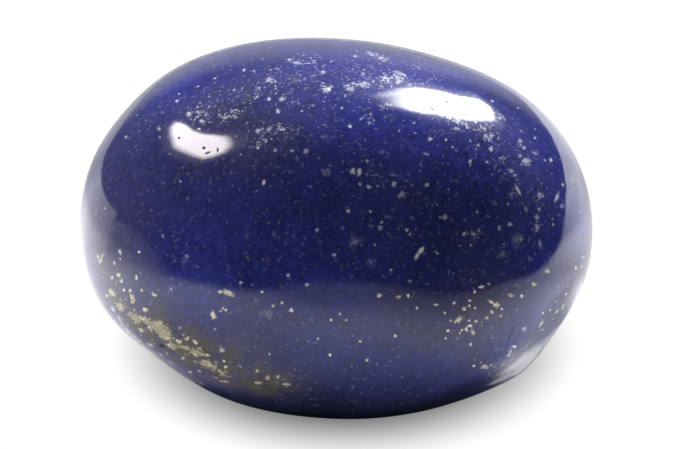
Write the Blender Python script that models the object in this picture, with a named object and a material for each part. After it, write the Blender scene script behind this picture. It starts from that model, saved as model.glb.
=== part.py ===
# Tumbled lapis lazuli pebble: one solid piece of polished rock, in metres with +Z up.
# +X is the long way, -Y is the fuller front, and the origin is on the small flat that it
# rests on, below the middle of the pebble's box.

import math

import bmesh
import bpy
from mathutils import Matrix, Vector

MM = 0.001

# The rounded blank, in millimetres, before its worn places.
HALF_LENGTH = 15.09
HALF_DEPTH = 12.5
HALF_HEIGHT = 10.81
# How boxy the blank's curves are: 2 is an ellipsoid.
SQUARENESS = 2.22
# How much taller the right end is than the middle, as a share.
RIGHT_END_SWELL = 0.014
# How far the long axis dips towards the right, in degrees.
DIP = 4.9
# Each level of the starting sphere has four times the faces of the level below.
SPHERE_LEVELS = 5

# Where tumbling wore the blank flatter: the way each place faces, its distance from the
# blank's middle and how softly it runs into the round, both in millimetres.
WORN_PLACES = {
    "upper right shoulder": ((0.303, 0.227, 0.925), 11.79, 0.45),
    "upper left shoulder": ((-0.764, 0.132, 0.631), 14.31, 0.45),
    "lower left cheek": ((-0.585, -0.348, -0.733), 12.49, 0.25),
    "right cheek": ((0.945, -0.195, -0.261), 15.26, 0.25),
    "front underside": ((0.236, -0.398, -0.886), 12.08, 0.45),
    "back left cheek": ((-0.60, 0.79, 0.12), 13.5, 0.40),
    "back right cheek": ((0.66, 0.72, -0.22), 13.7, 0.40),
    "back crown": ((-0.12, 0.72, 0.68), 11.9, 0.35),
    "back underside": ((0.10, 0.58, -0.81), 11.6, 0.35),
}

# The lower right corner: a small swelling, with its spread in degrees and its height in
# millimetres, and the two crisper flats that are worn on it.
CORNER_FACING = (0.773, -0.293, -0.563)
CORNER_SPREAD = 5.5
CORNER_HEIGHT = 0.49
CORNER_FLATS = {
    "upper corner flat": ((0.809, -0.353, -0.470), 13.74, 0.06),
    "lower corner flat": ((0.403, -0.458, -0.792), 12.17, 0.06),
}
# How much the resting flat takes off the lowest point, in millimetres.
REST_CUT = 0.35

# Edges that turn more than this, in degrees, are drawn crisp.
CRISP_EDGE = 12.0
LAPIS_BLUE = (0.035, 0.045, 0.26, 1.0)
POLISHED_ROUGHNESS = 0.12
# Two cut points closer than this are one point, in metres.
SAME_POINT = 1e-6


def clear_scene():
    for thing in list(bpy.data.objects):
        bpy.data.objects.remove(thing, do_unlink=True)


def boxy_reach(way):
    """How far the blank's surface is from its middle in a unit direction."""
    halves = (HALF_LENGTH, HALF_DEPTH, HALF_HEIGHT)
    total = sum(abs(part / half) ** SQUARENESS for part, half in zip(way, halves))
    return MM * total ** (-1.0 / SQUARENESS)


def shape_blank(solid):
    """Turns the unit sphere into the rounded blank, fuller at its right end, dipping right."""
    dip = Matrix.Rotation(math.radians(DIP), 3, "Y")
    for vert in solid.verts:
        way = vert.co.normalized()
        point = way * boxy_reach(way)
        point.z *= 1.0 + RIGHT_END_SWELL * point.x / (HALF_LENGTH * MM)
        vert.co = dip @ point


def press_flat(solid, facing, distance, softness):
    """Presses what stands past a plane back onto it, with a soft edge all round."""
    outward = Vector(facing).normalized()
    for vert in solid.verts:
        past = (vert.co.dot(outward) / MM - distance) / softness
        pressed = max(past, 0.0) + math.log1p(math.exp(-abs(past)))
        vert.co -= outward * pressed * softness * MM


def swell_corner(solid):
    """Raises the small round swelling at the lower right corner."""
    centre = Vector(CORNER_FACING).normalized()
    tightness = 1.0 / math.radians(CORNER_SPREAD) ** 2
    for vert in solid.verts:
        way = vert.co.normalized()
        share = math.exp(tightness * (way.dot(centre) - 1.0))
        vert.co += way * CORNER_HEIGHT * MM * share


def cut_flat(solid, point, facing):
    """Cuts the solid at a plane and closes it there with one flat face."""
    cut = bmesh.ops.bisect_plane(
        solid,
        geom=solid.verts[:] + solid.edges[:] + solid.faces[:],
        dist=SAME_POINT,
        plane_co=point,
        plane_no=facing,
        clear_outer=True,
    )
    rim = [item for item in cut["geom_cut"] if isinstance(item, bmesh.types.BMEdge)]
    bmesh.ops.contextual_create(solid, geom=rim)


def settle(solid):
    """Moves the pebble so that its flat is at height zero, below the middle of its box."""
    xs = [vert.co.x for vert in solid.verts]
    ys = [vert.co.y for vert in solid.verts]
    lowest = min(vert.co.z for vert in solid.verts)
    middle = Vector(((min(xs) + max(xs)) / 2, (min(ys) + max(ys)) / 2, lowest))
    bmesh.ops.translate(solid, vec=-middle, verts=solid.verts)


def lapis():
    material = bpy.data.materials.new("lapis")
    material.use_nodes = True
    shader = material.node_tree.nodes["Principled BSDF"]
    shader.inputs["Base Color"].default_value = LAPIS_BLUE
    shader.inputs["Roughness"].default_value = POLISHED_ROUGHNESS
    shader.inputs["Metallic"].default_value = 0.0
    material.diffuse_color = LAPIS_BLUE
    return material


def make_stone(collection):
    solid = bmesh.new()
    bmesh.ops.create_icosphere(solid, subdivisions=SPHERE_LEVELS, radius=1.0)
    shape_blank(solid)
    for facing, distance, softness in WORN_PLACES.values():
        press_flat(solid, facing, distance, softness)
    swell_corner(solid)
    for facing, distance, softness in CORNER_FLATS.values():
        press_flat(solid, facing, distance, softness)
    lowest = min(vert.co.z for vert in solid.verts)
    cut_flat(solid, Vector((0.0, 0.0, lowest + REST_CUT * MM)), Vector((0.0, 0.0, -1.0)))
    settle(solid)
    bmesh.ops.recalc_face_normals(solid, faces=solid.faces)

    mesh = bpy.data.meshes.new("stone")
    solid.to_mesh(mesh)
    solid.free()
    mesh.shade_smooth()
    mesh.set_sharp_from_angle(angle=math.radians(CRISP_EDGE))
    mesh.materials.append(lapis())
    stone = bpy.data.objects.new("stone", mesh)
    collection.objects.link(stone)
    return stone


def main():
    clear_scene()
    collection = bpy.data.collections.new("Tumbled lapis lazuli")
    bpy.context.scene.collection.children.link(collection)
    make_stone(collection)


main()
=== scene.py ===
# %% [markdown]
# A tumbled lapis lazuli pebble
#
# The object is one pebble, about 30 mm long, tumbled with grit until it shines. Lapis is a rock
# and not a single crystal: blue lazurite holds pale calcite and brassy pyrite, all ground to one
# level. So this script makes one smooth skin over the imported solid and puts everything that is
# only colour into its material. Sizes are in millimetres where a name says so, and Blender's own
# values are in metres.

# %% The frame
import math
import random

import bmesh
import bpy
import numpy as np
from mathutils import Matrix, Vector, noise
from mathutils.bvhtree import BVHTree


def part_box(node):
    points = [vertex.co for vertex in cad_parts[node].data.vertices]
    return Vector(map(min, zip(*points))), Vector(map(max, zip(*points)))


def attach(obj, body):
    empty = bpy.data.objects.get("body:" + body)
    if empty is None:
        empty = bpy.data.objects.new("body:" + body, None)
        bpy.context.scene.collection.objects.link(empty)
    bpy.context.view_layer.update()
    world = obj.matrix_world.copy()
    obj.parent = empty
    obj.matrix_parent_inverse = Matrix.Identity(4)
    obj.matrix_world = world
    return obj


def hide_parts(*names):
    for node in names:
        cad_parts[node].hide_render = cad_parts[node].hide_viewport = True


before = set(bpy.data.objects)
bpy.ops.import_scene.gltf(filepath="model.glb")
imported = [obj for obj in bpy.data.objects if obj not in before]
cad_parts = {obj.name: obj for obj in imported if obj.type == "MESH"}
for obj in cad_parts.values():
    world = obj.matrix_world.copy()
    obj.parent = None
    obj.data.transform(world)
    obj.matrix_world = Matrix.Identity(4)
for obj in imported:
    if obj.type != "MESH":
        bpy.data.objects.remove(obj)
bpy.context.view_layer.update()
MM = 0.001
pebble_low, pebble_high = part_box("stone")
print("solid size in mm:", [round(side / MM, 2) for side in pebble_high - pebble_low])

# %% [markdown]
# The camera comes first, because the markings are placed by where the photograph shows them.
# The pebble was taken from a little above with a long lens, which keeps its outline free of
# perspective. The lens follows from the scale: the pebble's 30 mm fill 510 of the 675 pixels.

# %% The camera
PHOTO_WIDTH, PHOTO_HEIGHT = 675, 449
PIXELS_PER_MM = 17.0
CAMERA_RISE = math.radians(18.0)
CAMERA_DISTANCE = 350.0 * MM
SENSOR = 36.0
PEBBLE_MIDDLE = Vector((0.0, 0.0, 10.57 * MM))
# Where the photograph shows the pebble's middle, in pixels.
MIDDLE_SEEN_AT = (336.4, 227.6)

look = Vector((0.0, math.cos(CAMERA_RISE), -math.sin(CAMERA_RISE)))
right = Vector((1.0, 0.0, 0.0))
up = right.cross(look)
pixel = MM / PIXELS_PER_MM
aim = (
    PEBBLE_MIDDLE
    + right * (PHOTO_WIDTH / 2 - MIDDLE_SEEN_AT[0]) * pixel
    + up * (MIDDLE_SEEN_AT[1] - PHOTO_HEIGHT / 2) * pixel
)
camera = bpy.data.objects.new("camera", bpy.data.cameras.new("camera"))
camera.data.sensor_width = SENSOR
camera.data.lens = SENSOR * CAMERA_DISTANCE / (PHOTO_WIDTH * pixel)
camera.data.clip_start = 10 * MM
camera.data.clip_end = 5.0
camera.location = aim - look * CAMERA_DISTANCE
camera.rotation_euler = look.to_track_quat("-Z", "Y").to_euler()
bpy.context.scene.collection.objects.link(camera)
bpy.context.scene.camera = camera
print("lens in mm:", round(camera.data.lens, 1))

# %% [markdown]
# A polished stone shows every facet of a coarse mesh in its highlights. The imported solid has
# about five thousand flat triangles, so its copy is merged, split twice and then relaxed until
# the facets are gone. Relaxing pulls a round form in a little, so each point is pushed back out
# by the same small amount. A subdivision modifier would smooth the facets too, but it would also
# round the edge of the resting flat, which this way stays exactly where it is.

# %% The polished skin
SAME_POINT = 1e-6
SPLITS = 2
# Rings of faces between the middle of the resting flat and its edge.
FLAT_RINGS = 4
RELAXINGS = 30
RELAX_SHARE = 0.5
# How far all the relaxing pulls the skin in.
PULLED_IN = 0.03 * MM
# Points that lie lower than this belong to the resting flat.
ON_THE_FLAT = 0.02 * MM


def ring_the_flat(skin):
    """Gives the resting flat even rings of faces in place of the long triangles of its cap."""
    cap = [face for face in skin.faces if face.calc_center_median().z < SAME_POINT]
    whole = bmesh.ops.dissolve_faces(skin, faces=cap)["region"]
    centre = whole[0].calc_center_median()
    for ring in range(FLAT_RINGS, 0, -1):
        bmesh.ops.inset_individual(skin, faces=whole, thickness=0.0)
        bmesh.ops.scale(
            skin,
            vec=Vector((1.0, 1.0, 1.0)) * ring / (ring + 1),
            space=Matrix.Translation(-centre),
            verts=whole[0].verts,
        )
    bmesh.ops.poke(skin, faces=whole)
    bmesh.ops.triangulate(skin, faces=skin.faces)


def polished_skin():
    skin = bmesh.new()
    skin.from_mesh(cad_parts["stone"].data)
    bmesh.ops.remove_doubles(skin, verts=skin.verts, dist=SAME_POINT)
    ring_the_flat(skin)
    for split in range(SPLITS):
        bmesh.ops.subdivide_edges(skin, edges=skin.edges, cuts=1, use_grid_fill=True)
    free = [vert for vert in skin.verts if vert.co.z > ON_THE_FLAT]
    for time in range(RELAXINGS):
        bmesh.ops.smooth_vert(
            skin, verts=free, factor=RELAX_SHARE, use_axis_x=True, use_axis_y=True, use_axis_z=True
        )
    skin.normal_update()
    for vert in free:
        vert.co += vert.normal * PULLED_IN
    return skin


skin = polished_skin()
print("skin faces:", len(skin.faces))

# %% [markdown]
# Tumbling never leaves a perfect curve. Harder and softer grains wear at different rates, so
# the polish rolls by a few hundredths of a millimetre, which only the edges of the highlights
# show. A smooth noise moves each point along its normal by that much.

# %% The roll of the polish
ROLL_HEIGHT = 0.02 * MM
ROLL_LENGTH = 5.0 * MM


def roll_polish(skin):
    skin.normal_update()
    for vert in skin.verts:
        if vert.co.z > ON_THE_FLAT:
            vert.co += vert.normal * ROLL_HEIGHT * noise.noise(vert.co / ROLL_LENGTH)
        vert.co.z = max(vert.co.z, 0.0)


roll_polish(skin)
skin.normal_update()
surface = BVHTree.FromBMesh(skin)
stone_mesh = bpy.data.meshes.new("polished_lapis")
skin.to_mesh(stone_mesh)
skin.free()
stone_mesh.shade_smooth()
polished_lapis = bpy.data.objects.new("polished_lapis", stone_mesh)
bpy.context.scene.collection.objects.link(polished_lapis)
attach(polished_lapis, "root")
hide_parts("stone")
print("skin points:", len(stone_mesh.vertices))

# %% [markdown]
# A mark that the photograph shows at a pixel is placed on the stone by a ray from the camera
# through that pixel. A picture projected from the camera would do it too, but it would smear over
# the sides. A mark that is placed by its ray stays on the surface and keeps its shape, from any
# side. The sides that the photograph doesn't show are reached by rays from all round.

# %% From a pixel to the stone
# A distance from the pebble's middle that is surely outside it.
OUTSIDE = 50 * MM


def ray_through(x, y):
    """The direction from the camera through a pixel of the photograph."""
    across = (x - PHOTO_WIDTH / 2) * pixel
    rise = (PHOTO_HEIGHT / 2 - y) * pixel
    return (look * CAMERA_DISTANCE + right * across + up * rise).normalized()


def on_stone(x, y):
    """The point of the stone that the photograph shows at a pixel, and the normal there."""
    sight = ray_through(x, y)
    point, normal, face, distance = surface.ray_cast(camera.location, sight)
    if point is None:
        passes = camera.location + sight * (PEBBLE_MIDDLE - camera.location).dot(sight)
        point, normal, face, distance = surface.find_nearest(passes)
    return point, normal


def facing(azimuth, elevation=0.0):
    """The way that faces an azimuth, counted from the front to the right, in degrees."""
    turn, rise = math.radians(azimuth), math.radians(elevation)
    return Vector((math.sin(turn) * math.cos(rise), -math.cos(turn) * math.cos(rise), math.sin(rise)))


def from_outside(azimuth, elevation):
    """The point of the stone that faces an azimuth and an elevation, and the normal there."""
    way = facing(azimuth, elevation)
    point, normal, face, distance = surface.ray_cast(PEBBLE_MIDDLE + way * OUTSIDE, -way)
    return point, normal


print("middle seen, in mm:", [round(part / MM, 1) for part in on_stone(*MIDDLE_SEEN_AT)[0]])

# %% [markdown]
# Polished lapis is blue lazurite in grains too small to see one by one, so the blue is never
# even. In it lie four kinds of marks: white calcite flecks, hazier calcite below the surface,
# pyrite grains, and small dark pits. Noise alone could give their number, but not their places.
# So the ones that make this pebble recognisable are listed here, by where the photograph shows
# them, and the many tiny ones are scattered later.
#
# Every list gives pixel across and pixel down. The round marks are sorted by their width in
# pixels, and the long ones add their length, their width and how far they turn from level, in
# degrees.

# %% Calcite flecks
CALCITE_ROUND = {
    2.4: [
        (259, 88), (311, 58), (345, 96), (342, 108), (374, 120), (361, 119), (302, 111), (399, 131),
        (446, 140), (453, 147), (487, 162), (535, 138), (477, 212), (378, 186), (360, 184),
        (375, 245), (391, 270), (254, 71), (234, 90), (160, 137), (179, 94), (155, 90),
        (545, 160), (518, 108), (440, 217), (499, 229), (504, 244), (581, 212), (414, 123),
        (183.6, 335), (214.7, 329.3), (226, 367), (141.4, 335), (533, 344), (445.7, 338.6),
    ],
    3.4: [
        (289, 60), (269, 99), (350, 126), (386, 75), (398, 82), (410, 85), (275, 150), (292, 151),
        (334, 255), (464, 234), (407, 230), (317, 230), (348, 211), (244, 70), (369, 123),
        (410, 281), (288, 275), (307, 285), (520, 156), (478, 145), (177, 101), (159, 129),
        (126, 137), (524, 148), (539, 209), (563, 185), (458, 129), (515, 175), (500, 118),
        (182.9, 358.3), (179.6, 327.6), (152, 352), (167, 353.6), (187, 256),
    ],
    4.4: [
        (323, 72), (269, 80), (278, 111), (381, 58), (363, 74), (380, 228), (510, 224), (427, 185),
        (537, 217), (511, 171), (520, 141), (551, 160), (486, 136), (491, 149), (189, 114),
        (445, 217), (306, 151), (562, 206), (202, 121), (430, 139), (394, 184), (222, 350),
        (524, 329),
    ],
    6: [(326, 90), (526, 161), (402, 194)],
}
CALCITE_LONG = [
    (297, 63, 9, 3, -5), (398, 73, 9, 4, -10), (362, 84, 11, 4, 5), (350, 89, 9, 5, -10),
    (371, 54, 10, 3, -35), (540, 195, 4, 6, -15), (518, 190, 11, 3, -60), (537, 227, 4, 7, 0),
    (540, 244, 3, 8, 0), (557, 197, 3, 10, -20), (526, 209, 3, 6, 15), (535, 153, 6, 3, -20),
    (353, 171, 5, 6, 0), (359, 172, 4, 7, 0), (470, 162, 3, 6, 0), (426, 154, 5, 2.4, -15),
    (369, 187, 5, 3, -20), (282, 99, 7, 4, 25), (258, 131, 6, 4, 20), (269, 129, 7, 4, 40),
    (120, 252, 3, 5, 10), (171, 289, 4, 2.5, -40), (128, 331, 11, 6, -30), (138, 341, 7, 9, 20),
    (150, 345, 8, 5, -30), (161, 355, 8, 5, -20), (171, 363, 7, 5, -20), (179, 372, 12, 6, -30),
    (190, 379, 11, 5, -25), (173, 369, 8, 5, -30), (190, 372, 5, 3, -10), (119, 318, 7, 6, -40),
    (113, 309, 5, 7, 0), (144, 349, 7, 4, -35), (200, 383, 8, 4, -20), (510.4, 352, 3, 5, -30),
    (508.5, 355, 5, 2.4, 30), (514, 346, 5, 1.6, 10),
]
print("long calcite flecks:", len(CALCITE_LONG))

# %% Calcite clusters and haze
# Where tiny flecks crowd into a cluster.
CALCITE_CLUSTERS = [
    (262, 132, 14, 11, 20), (279, 134, 16, 18, 0), (293, 131, 13, 11, 0), (262, 143, 10, 9, 0),
    (488, 134, 30, 13, -42), (497, 144, 16, 12, -50), (500, 159, 13, 11, 0), (500, 118, 12, 9, 0),
    (520, 144, 6, 12, 0), (526, 161, 12, 12, 0), (349, 162, 12, 9, 60), (357, 173, 12, 13, 0),
    (386, 105, 15, 8, -10), (368, 101, 14, 8, 0), (352, 86, 22, 10, 0), (365, 84, 14, 8, 0),
    (385, 80, 12, 10, 0), (203, 116, 26, 14, 0), (222, 117, 16, 9, 10), (235, 113, 14, 9, 0),
    (430, 204, 14, 8, -15), (475, 236, 14, 17, -10), (518, 240, 12, 9, 0), (537, 224, 10, 16, 0),
    (431, 289, 14, 9, -30), (355, 241, 10, 11, 0), (371, 263, 8, 10, 0), (402, 195, 9, 9, 0),
    (452, 118, 40, 9, -22), (515, 190, 9, 26, -20), (540, 198, 8, 16, 0), (384, 154, 10, 8, 0),
    (300, 62, 26, 8, 0), (270, 80, 12, 7, 0), (256, 93, 12, 9, 0), (326, 88, 14, 12, 0),
    (380, 57, 24, 7, -15), (398, 78, 16, 14, 0), (366, 119, 14, 8, 0), (393, 118, 8, 7, 0),
    (122, 322, 16, 7, -50), (136, 338, 18, 8, -42), (152, 352, 18, 7, -35), (168, 363, 18, 7, -33),
    (184, 375, 18, 7, -28), (512, 357, 16, 10, -20), (498, 365, 14, 8, -20), (98, 205, 9, 30, 0),
]
CALCITE_HAZY = [
    (518, 240, 12, 12, 0), (503, 255, 12, 8, 0), (474, 236, 9, 16, -10), (495, 203, 9, 4, -20),
    (371, 263, 7, 11, 0), (355, 242, 12, 13, 0), (267, 314, 16, 9, 0), (185, 262, 7, 8, 0),
    (376, 175, 16, 2, 4), (392, 175, 16, 2, -6), (325, 172, 9, 9, 0),
    (573, 178, 5, 9, 0), (312, 76, 9, 5, 0), (330, 83, 5, 8, 20), (469.5, 328.6, 7, 7, 0),
]
print("calcite clusters:", len(CALCITE_CLUSTERS), "hazy places:", len(CALCITE_HAZY))

# %% Pyrite grains
PYRITE_ROUND = {
    2.4: [
        (553, 319), (543, 313), (568, 286), (582, 257), (489, 284), (502, 309), (501, 316),
        (469, 306), (469, 321), (445, 313), (451, 321), (462, 330), (460, 333), (223, 308),
        (226, 310), (221, 311), (262, 292), (187, 339), (224, 361), (221, 381), (216, 378),
        (474, 366), (489, 374), (495, 367), (340, 314), (318, 339), (346, 320), (120, 300),
        (491, 365), (475, 308), (556, 302),
    ],
    3.2: [
        (522, 296), (487, 318), (470, 301), (476, 321), (492, 312), (448, 331), (550, 310),
        (454, 303), (566, 294), (112, 278), (124, 290), (142, 290), (130, 291), (134, 310),
        (115, 303), (273, 306), (282, 303), (331, 320), (360, 341), (395, 336), (330, 355),
        (367, 360), (259, 383), (278, 377), (226, 367), (408, 296), (515, 347), (417, 308),
        (257, 371), (475, 292),
    ],
    4: [
        (547.4, 271.4), (534.3, 284.3), (464, 309), (118.5, 275), (121.4, 280.4), (107, 296),
        (268, 378), (398, 297), (291, 310), (379, 295), (503, 365), (187, 339),
    ],
    6: [(497, 304.6), (111, 292)],
}
PYRITE_LONG = [
    (491.4, 302, 6, 3, -30), (510.7, 295.3, 6, 3, -25), (459.3, 319.3, 10, 5, 38),
    (436, 304.6, 5, 2.4, -10), (481.4, 287, 6, 2.4, 10), (563, 306.4, 3, 9, -8),
    (557, 311.4, 4, 6, 0), (541.4, 323.6, 8, 4, 60), (543, 329.6, 2.4, 4, 0), (473, 333, 4, 5, 0),
    (469.5, 326, 6, 2.4, 20), (466.5, 329, 2.4, 5, 0), (576, 268, 3, 5, 0), (581.7, 266.4, 3, 5, 0),
    (485, 367, 8, 4, 0), (227.5, 293, 12, 5, -18), (220, 292, 4, 3, 0), (213.6, 315.7, 5, 8, 20),
    (154, 294.6, 6, 4, -35), (136.3, 277.6, 3, 4.4, 0), (98, 257, 3, 5, 15), (100.5, 261, 3, 5, -20),
    (102, 256, 2.4, 4, 0), (112, 293, 8, 6, -40), (132, 296.5, 4, 7, 10), (133, 301, 4, 6, -10),
    (120.7, 307, 10, 8, -20), (145, 310, 6, 4, -40), (136.4, 318.6, 12, 8, -35),
    (146, 320.5, 9, 5, -40), (130, 315, 6, 4, -40), (157, 326, 15, 10, -20), (163, 332, 16, 11, -35),
    (166, 337, 14, 8, -25), (151, 327, 8, 8, 0), (171.5, 345.5, 12, 6, -25), (178.6, 341.4, 6, 3, -20),
    (183.6, 347.6, 10, 3.4, -18), (194.3, 352, 10, 6, -30), (204.3, 355, 10, 3, -8),
    (206.4, 363.6, 14, 7, -22), (213, 366.4, 8, 5, -25), (213.6, 370.3, 6, 2.4, -20),
    (221.7, 373, 10, 3.4, -35), (226, 381.7, 6, 2.4, -10), (195.4, 342.3, 6, 3, -35),
    (258.6, 383, 7, 3, 0), (286, 384, 8, 3, 0), (141, 330, 6, 4, -30), (200, 349, 6, 2.4, -30),
]
print("long pyrite grains:", len(PYRITE_LONG))

# %% Pyrite clusters and olive patches
# Where tiny grains crowd along the vein.
PYRITE_CLUSTERS = [
    (161, 331, 30, 24, -30), (177, 345, 26, 12, -25), (198, 353, 26, 10, -20), (209, 365, 24, 13, -20),
    (224, 376, 20, 12, -30), (137, 318, 24, 16, -35), (121, 305, 18, 17, 0), (112, 292, 15, 22, 0),
    (101, 262, 12, 26, 0), (132, 297, 10, 18, 0), (270, 380, 28, 13, -10), (503, 363, 18, 14, 0),
    (486, 368, 20, 10, 0), (148, 336, 26, 12, -38), (190, 358, 30, 12, -25),
    (118, 278, 16, 14, 0),
]
# The patch that runs over the upper edge, and three dull ones.
OLIVE_LONG = [(386, 47, 30, 7, -8), (248, 97, 9, 8, 0), (294, 78, 12, 7, 0), (268, 261, 6, 8, 0)]
print("pyrite clusters:", len(PYRITE_CLUSTERS), "olive patches:", len(OLIVE_LONG))

# %% Pits, cracks and the brightest flecks
PITS = {
    2: [(179, 138), (466, 115), (447, 102), (350, 90), (325, 172)],
    3: [(204, 148), (469.6, 329)],
}
# The dark colour of the cracks is painted shade in them.
CRACKS = [
    (208, 153, 6, 2, 20), (218, 150, 2, 5, -5), (432, 109, 5, 2, -35), (167, 341.7, 7, 3, 20),
    (205.5, 358.3, 8, 2.6, -12), (512.5, 330, 10, 0.9, 68), (509.5, 337, 9, 1.2, 60),
    (506.5, 344, 8, 1.2, 76), (503.5, 350, 8, 1.2, 58), (498.5, 355.5, 9, 1.2, 40),
    (491.5, 360.5, 10, 1.1, 24), (161.5, 346, 7, 4, -10),
]
# The brightest flecks: partly white calcite and partly a painted glint, laid into the colour as near
# white.
GLINTS = [
    (421, 250.4, 9, 4.4, 50), (417, 256, 8, 3.8, 62), (263.8, 182.5, 3.4, 6, -15),
    (139, 252, 3, 3, 0), (199, 129, 4, 2.4, -10), (329, 89, 4, 4, 0),
]
print("pieces of cracks:", len(CRACKS), "brightest flecks:", len(GLINTS))

# %% [markdown]
# A texture coordinate of its own is the simplest way to put a mark on a curved skin. Every face
# near a mark gets the mark's coordinates: zero at its middle and one long at its edge, turned
# and squeezed as the mark is. Each list of marks becomes two attributes, one for the nearest
# mark of a face and one for the next, so that marks may lie close together. The material then
# only has to measure how long the coordinate is.

# %% Painting marks on the skin
# A mark near the outline isn't stretched to more than this many times its width.
MOST_STRETCH = 1.8
# How far around a mark its faces are painted, in half sizes, and never less than this.
PAINT_REACH = 2.4
LEAST_REACH = 0.12 * MM
# The coordinates and the strength of a face that no mark reaches.
FAR_AWAY = (9.0, 9.0, 0.0)
# The strengths of the marks lie between this and one.
FAINTEST = 0.55


def mark_frame(x, y, length, width, turn):
    """Where a mark lies on the stone and its two half axes there."""
    point, normal = on_stone(x, y)
    sight = ray_through(x, y)
    angle = math.radians(turn)
    along = (right * math.cos(angle) + up * math.sin(angle)) * length * pixel / 2
    across = (up * math.cos(angle) - right * math.sin(angle)) * width * pixel / 2
    along -= sight * along.dot(normal) / sight.dot(normal)
    across -= sight * across.dot(normal) / sight.dot(normal)
    swing = 0.5 * math.atan2(2.0 * along.dot(across), along.length_squared - across.length_squared)
    long_axis = along * math.cos(swing) + across * math.sin(swing)
    short_axis = across * math.cos(swing) - along * math.sin(swing)
    longest = MOST_STRETCH * max(length, width) / 2 * pixel
    long_axis *= min(1.0, longest / long_axis.length)
    short_axis *= min(1.0, longest / short_axis.length)
    return point, long_axis, short_axis


def paint_marks(mesh, name, round_marks, long_marks=(), hidden=()):
    """Writes the attributes name_near and name_next: two coordinates and a strength."""
    chance = random.Random(name)
    listed = [(x, y, width, width, 0.0) for width, spots in round_marks.items() for x, y in spots]
    frames = [mark_frame(*mark) for mark in listed + list(long_marks)] + list(hidden)
    strengths = [chance.uniform(FAINTEST, 1.0) for mark in frames]
    found = {}
    for number, (point, along, across) in enumerate(frames):
        size = max(along.length, across.length)
        reach = size * PAINT_REACH + LEAST_REACH
        for place, normal, face, away in surface.find_nearest_range(point, reach):
            found.setdefault(face, []).append((away / size, number))
    layers = [[*FAR_AWAY] * len(mesh.loops) for layer in ("near", "next")]
    for face, nearest in found.items():
        for layer, (share, number) in zip(layers, sorted(nearest)):
            point, along, across = frames[number]
            for corner in mesh.polygons[face].loop_indices:
                offset = mesh.vertices[mesh.loops[corner].vertex_index].co - point
                layer[3 * corner] = offset.dot(along) / along.length_squared
                layer[3 * corner + 1] = offset.dot(across) / across.length_squared
                layer[3 * corner + 2] = strengths[number]
    for layer, values in zip(("near", "next"), layers):
        painted = mesh.attributes.new(f"{name}_{layer}", "FLOAT_VECTOR", "CORNER")
        painted.data.foreach_set("vector", values)
    print(name, "marks:", len(frames), "faces:", len(found))


# %% [markdown]
# The photograph shows one side only, and a pebble is turned over in the hand. The other sides get
# marks of the same kinds and sizes at random places, and the pyrite vein goes on round the back
# from where it leaves the picture. The random numbers are seeded by the name of each kind, so the
# pebble is the same one in every run.

# %% Marks on the hidden sides
# How many there are of each kind, the shortest and the longest in pixels, and the narrowest
# width as a share of the length.
HIDDEN_MARKS = {
    "calcite": (150, 2.4, 6.5, 0.4),
    "calcite_clusters": (26, 9.0, 30.0, 0.4),
    "calcite_haze": (14, 6.0, 14.0, 0.5),
    "pyrite": (60, 2.4, 6.0, 0.4),
    "pits": (16, 2.0, 3.0, 0.7),
}
VEIN_MARKS = {
    "grains": (60, 3.0, 13.0, 0.35),
    "clusters": (14, 16.0, 30.0, 0.35),
}
# Where hidden marks may lie: azimuths in degrees, and heights as shares of a unit ball's radius.
HIDDEN_AZIMUTHS = (80.0, 280.0)
HIDDEN_HEIGHTS = (-0.8, 0.95)
# The vein round the back, in degrees: the azimuths where it starts and ends, the elevations that
# it swings between, and how far its grains stray.
VEIN_FROM, VEIN_TO = -92.0, -196.0
VEIN_LOW, VEIN_HIGH = -34.0, -6.0
VEIN_STRAY = 4.0
# How far through a swing the vein starts, and how far it swings along its way, in radians.
SWING_START, SWING_LENGTH = -0.8, 5.0
# A place that faces away from the camera by less than this cosine may still be seen.
CAMERA_SEES = 0.05


def hidden_frame(chance, azimuth, elevation, shortest, longest, narrowest):
    """A mark at a place that the camera doesn't see, or nothing where it does."""
    point, normal = from_outside(azimuth, elevation)
    if normal.dot(look) < CAMERA_SEES:
        return []
    length = chance.uniform(shortest, longest) * pixel / 2
    width = length * chance.uniform(narrowest, 1.0)
    along = normal.orthogonal().normalized()
    along.rotate(Matrix.Rotation(chance.uniform(0.0, math.tau), 3, normal))
    return [(point, along * length, normal.cross(along) * width)]


def hidden_marks(name):
    chance = random.Random("hidden " + name)
    number, *sizes = HIDDEN_MARKS[name]
    frames = []
    while len(frames) < number:
        elevation = math.degrees(math.asin(chance.uniform(*HIDDEN_HEIGHTS)))
        frames += hidden_frame(chance, chance.uniform(*HIDDEN_AZIMUTHS), elevation, *sizes)
    return frames


def hidden_vein(name):
    chance = random.Random("vein " + name)
    number, *sizes = VEIN_MARKS[name]
    frames = []
    for step in range(number):
        along = (step + chance.random()) / number
        azimuth = VEIN_FROM + (VEIN_TO - VEIN_FROM) * along
        swing = 0.5 + 0.5 * math.sin(SWING_LENGTH * along + SWING_START)
        elevation = VEIN_LOW + (VEIN_HIGH - VEIN_LOW) * swing + chance.gauss(0.0, VEIN_STRAY)
        frames += hidden_frame(chance, azimuth, elevation, *sizes)
    return frames


# %% All the marks
hidden_pyrite = hidden_marks("pyrite") + hidden_vein("grains")
hidden_clusters = hidden_marks("calcite_clusters")
paint_marks(stone_mesh, "calcite", CALCITE_ROUND, CALCITE_LONG, hidden_marks("calcite"))
paint_marks(stone_mesh, "calcite_clusters", {}, CALCITE_CLUSTERS, hidden_clusters)
paint_marks(stone_mesh, "calcite_haze", {}, CALCITE_HAZY, hidden_marks("calcite_haze"))
paint_marks(stone_mesh, "pyrite", PYRITE_ROUND, PYRITE_LONG, hidden_pyrite)
paint_marks(stone_mesh, "pyrite_clusters", {}, PYRITE_CLUSTERS, hidden_vein("clusters"))
paint_marks(stone_mesh, "olive", {}, OLIVE_LONG)
paint_marks(stone_mesh, "pits", PITS, CRACKS, hidden_marks("pits"))
paint_marks(stone_mesh, "glints", {}, GLINTS)

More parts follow.
